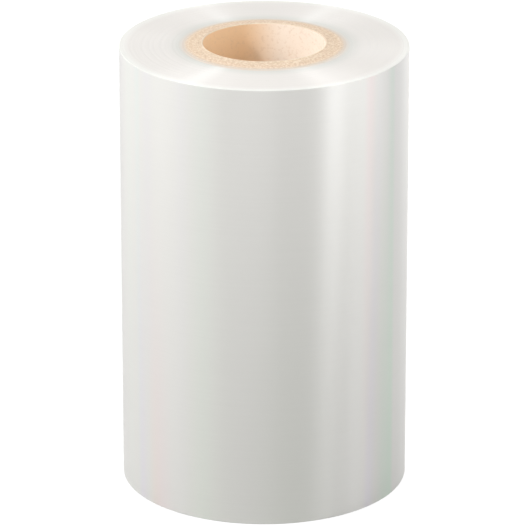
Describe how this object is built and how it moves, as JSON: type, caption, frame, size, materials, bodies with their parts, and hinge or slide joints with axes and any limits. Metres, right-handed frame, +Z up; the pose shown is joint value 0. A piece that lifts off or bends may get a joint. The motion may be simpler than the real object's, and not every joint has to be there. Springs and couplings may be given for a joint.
{
  "type": "roll of polypropylene film",
  "caption": "Roll of clear polypropylene packing film wound tight on a thick paper core, whose top end rises a little to its mouth; the roll stands on its end.",
  "frame": {"origin": "centre of the end that the roll stands on", "axes": "+Z up along the roll's axis; +X and +Y are alike, because the roll is round"},
  "size_m": [0.18, 0.18, 0.2865],
  "materials": {
    "film": "glossy clear film, milky where its turns lie together, with faint pastel bands",
    "core_paper": "matt speckled kraft paper, wound in thin plies"
  },
  "bodies": {
    "root": {"film_roll": "film", "paper_core": "core_paper"}
  },
  "joints": []
}
